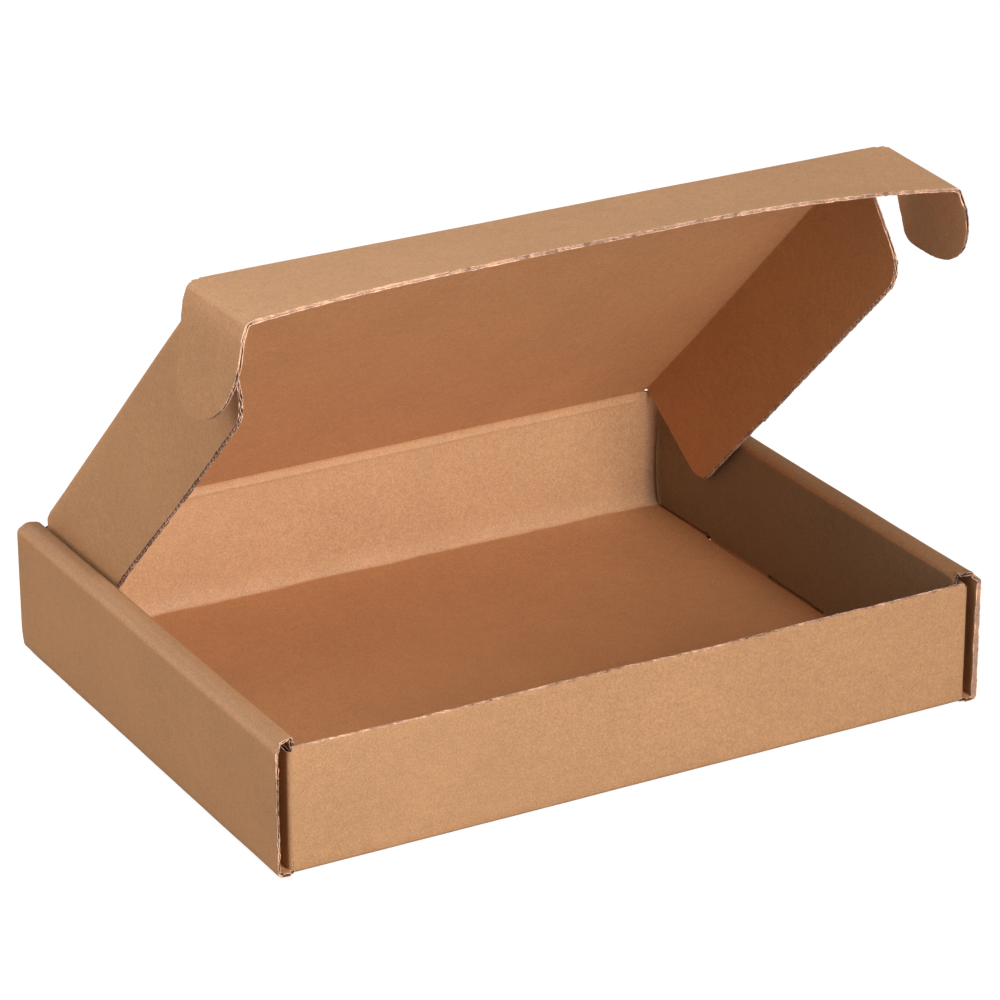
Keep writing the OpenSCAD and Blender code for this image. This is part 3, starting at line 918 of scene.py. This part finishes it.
def buildTuck():
    bm = bmesh.new()
    r, bend, wide = mailer["creaseRadius"], mailer["tuckAngle"], earStart
    back = tangent(r, bend)
    path = makePath(lid["frontGap"] + back, 0, 180, ("run", lid["frontGap"]), ("turn", r, bend),
                    ("run", mailer["tuckHeight"] - back))
    length = pathEnd(path)
    root = path[1]["end"] + tuck["rootGap"] - back
    # the path starts in the lid's plane, and is turned here into the tuck flap's own frame
    turn = Matrix.Rotation(math.radians(bend), 3, "X").inverted()

    def tuckFold(co):
        a, b = pathPoint(path, co.y, co.z)
        ripple = noise.noise(Vector((co.x * tuck["waveScale"], 5.5, 0)))
        wavy = tuck["edgeWave"] * ripple * max(0, co.y / length) ** 4
        return tuckPoint(turn @ Vector((co.x, a + wavy, b)))
    # the root is cut away outside the lid, and a little deeper near the ears
    aside = []
    for start, deep in ((mailer["lidHalf"] - 0.4, root), (tuck["notchFrom"], root + tuck["notchDeep"])):
        aside += [(-far, -start, -far, deep), (start, far, -far, deep)]
    cuts = turnCuts(path, 7) + [length - d for d in board["edgeCuts"]]
    layBoard(bm, (-wide, wide, 0, length), tuckFold, cutsY=cuts, holes=aside,
             bands=[(-wide, wide, length - board["band"], length)], waveStep=4, rough=0.3, crush=0.22,
             smoothEdge=lambda co: co.y < root + 0.9 or abs(co.x) > wide - tuck["plainEnds"])
    tornStrip(bm, -wide, wide, length - 0.25, tuckFold, low=-0.75, high=0.1)
    obj = finishBoard("tuckBoard", bm, slotsFor("lidOuter", "lidInner"))
    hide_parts("tuck_flap")
    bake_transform(obj)


buildTuck()

# ears: a front corner is its place along the ear, 0 for the end, its distance from the lid, and its rounding
ears = {
    "ear_left": {"side": -1, "fold": 82.0, "height": 44.5, "bulge": 1.4, "rear": 2.6, "rearRound": 8.5,
                 "front": ((0, 49.4, 37.0), (-1, 49.0, 0))},
    "ear_right": {"side": 1, "fold": 73.0, "height": 41.0, "bulge": 0.2, "rear": 2.6, "rearRound": 4.5,
                  "front": ((0, 50.4, 33.0), (9, 51.0, 3.0), (-1, 49.0, 0))},
}


def buildEar(name):
    bm = bmesh.new()
    ear, r, start = ears[name], mailer["earRadius"], earStart
    sx, rear, height = ear["side"], ear["rear"], ear["height"]
    reach = tangent(r, ear["fold"])
    path = makePath(start, 0, 0, ("run", mailer["earCrease"] - reach - start), ("turn", r, ear["fold"]),
                    ("run", height - reach))
    length, crease = pathEnd(path), path[1]["end"]

    def earFold(co):
        a, b = pathPoint(path, co.x, co.z)
        root = min(a, mailer["earCrease"])
        out = ear["bulge"] * ramp(b, 0, 6) * max(0, 1 - b / height) ** 0.8
        return tuckPoint(Vector((sx * root, -co.y, -b))) + Vector((sx * (a - root + out), 0, 0))
    front = [(x or length, y, rounding) for x, y, rounding in ear["front"]]
    planes = outlinePlanes([(-1, rear, 0), (length, rear, ear["rearRound"])] + front, 14)
    area = (0, length, rear, max(y for x, y, rounding in front))
    layBoard(bm, area, earFold, cutsX=turnCuts(path, 8), step=3, planes=planes, bands=[area], rough=0.2,
             crush=0.16, smoothEdge=lambda co: co.x < crease + 5)
    obj = finishBoard(name + "Board", bm, slotsFor("lidOuter", "earInnerLit"))
    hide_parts(name)
    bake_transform(obj)


for name in ears:
    buildEar(name)
print("tuck flap and ears folded")


# studio: a white floor that keeps the contact shadow, lit evenly by wide lamps
studio = {
    "floorSize": 6.0, "floorDrop": 0.0006, "floorTone": 0.25, "floorGlow": 0.86, "softness": 30.0,
    "panelSize": 0.6, "aimHeight": 0.05, "sunDistance": 2.0, "warm": (1.0, 0.9, 0.78),
    "white": (1.0, 1.0, 1.0),
}
# suns as azimuth, height in degrees, level and colour; panels with how far they turn aside and stand away
suns = ((90, 12, 0.57, "white"), (-90, 45, 0.15, "white"), (-135, 20, 0.5, "warm"), (-90, 12, 0.12, "warm"),
        (-60, 15, 0.06, "white"))
panels = ((0, 10, 0.52, 42, 1.4), (8, 30, 0.63, 42, 1.4), (-135, 50, 0.46, 0, 0.8), (-60, 60, 0.15, 0, 0.7))


def aimLamp(lamp, azimuth, height, distance, aside=0.0):
    obj = bpy.data.objects.new(lamp.name, lamp)
    a, e = math.radians(azimuth), math.radians(height)
    back = Vector((math.sin(a) * math.cos(e), -math.cos(a) * math.cos(e), math.sin(e)))
    obj.location = back * distance + Vector((0, 0, studio["aimHeight"]))
    obj.rotation_mode = "QUATERNION"
    turn = Matrix.Rotation(math.radians(aside), 3, "Z")
    obj.rotation_quaternion = (turn @ back).to_track_quat("Z", "Y")
    bpy.context.scene.collection.objects.link(obj)


def buildFloor():
    bm = bmesh.new()
    bmesh.ops.create_grid(bm, x_segments=1, y_segments=1, size=studio["floorSize"] / 2)
    mesh = bpy.data.meshes.new("floor")
    bm.to_mesh(mesh)
    bm.free()
    floor = bpy.data.objects.new("floor", mesh)
    floor.location.z = -studio["floorDrop"]
    bpy.context.scene.collection.objects.link(floor)
    material, nodes, links, shader = newMaterial("whiteFloor")
    tone = studio["floorTone"]
    shader.inputs["Base Color"].default_value = (tone, tone, tone, 1)
    shader.inputs["Roughness"].default_value = 1.0
    shader.inputs["Specular IOR Level"].default_value = 0.0
    shader.inputs["Emission Color"].default_value = (1, 1, 1, 1)
    rays = nodes.new("ShaderNodeLightPath")
    glow = mathNode(nodes, links, "MULTIPLY", rays.outputs["Is Camera Ray"], studio["floorGlow"])
    links.new(glow, shader.inputs["Emission Strength"])
    mesh.materials.append(material)


# white air that only the camera sees
def buildAir():
    world = bpy.data.worlds.new("studioAir")
    bpy.context.scene.world = world
    world.use_nodes = True
    nodes, links = world.node_tree.nodes, world.node_tree.links
    sky = nodes["Background"]
    sky.inputs["Color"].default_value = (1, 1, 1, 1)
    rays = nodes.new("ShaderNodeLightPath")
    links.new(rays.outputs["Is Camera Ray"], sky.inputs["Strength"])


def buildLamps():
    for i, (azimuth, height, level, tone) in enumerate(suns):
        lamp = bpy.data.lights.new("softSun" + str(i), "SUN")
        lamp.energy, lamp.angle, lamp.color = level * math.pi, math.radians(studio["softness"]), studio[tone]
        aimLamp(lamp, azimuth, height, studio["sunDistance"])
    for i, (azimuth, height, level, aside, distance) in enumerate(panels):
        lamp = bpy.data.lights.new("softPanel" + str(i), "AREA")
        lamp.size = studio["panelSize"]
        lamp.energy = level * math.pi ** 2 * distance ** 2 / math.cos(math.radians(aside))
        aimLamp(lamp, azimuth, height, distance, aside)


buildFloor()
buildAir()
buildLamps()

# the photograph's viewpoint
viewpoint = {"place": (-0.74081, -1.33552, 0.71606), "turn": (67.1652, 0.1535, -29.1930), "lens": 155.53,
             "sensor": 36.0, "clip": (0.05, 20.0)}


def buildCamera():
    data = bpy.data.cameras.new("camera")
    data.lens, data.sensor_width = viewpoint["lens"], viewpoint["sensor"]
    data.clip_start, data.clip_end = viewpoint["clip"]
    camera = bpy.data.objects.new("camera", data)
    camera.location = viewpoint["place"]
    camera.rotation_euler = [math.radians(v) for v in viewpoint["turn"]]
    bpy.context.scene.collection.objects.link(camera)
    bpy.context.scene.camera = camera


buildCamera()
bpy.context.scene.view_settings.view_transform = "Standard"
print("studio and camera placed")
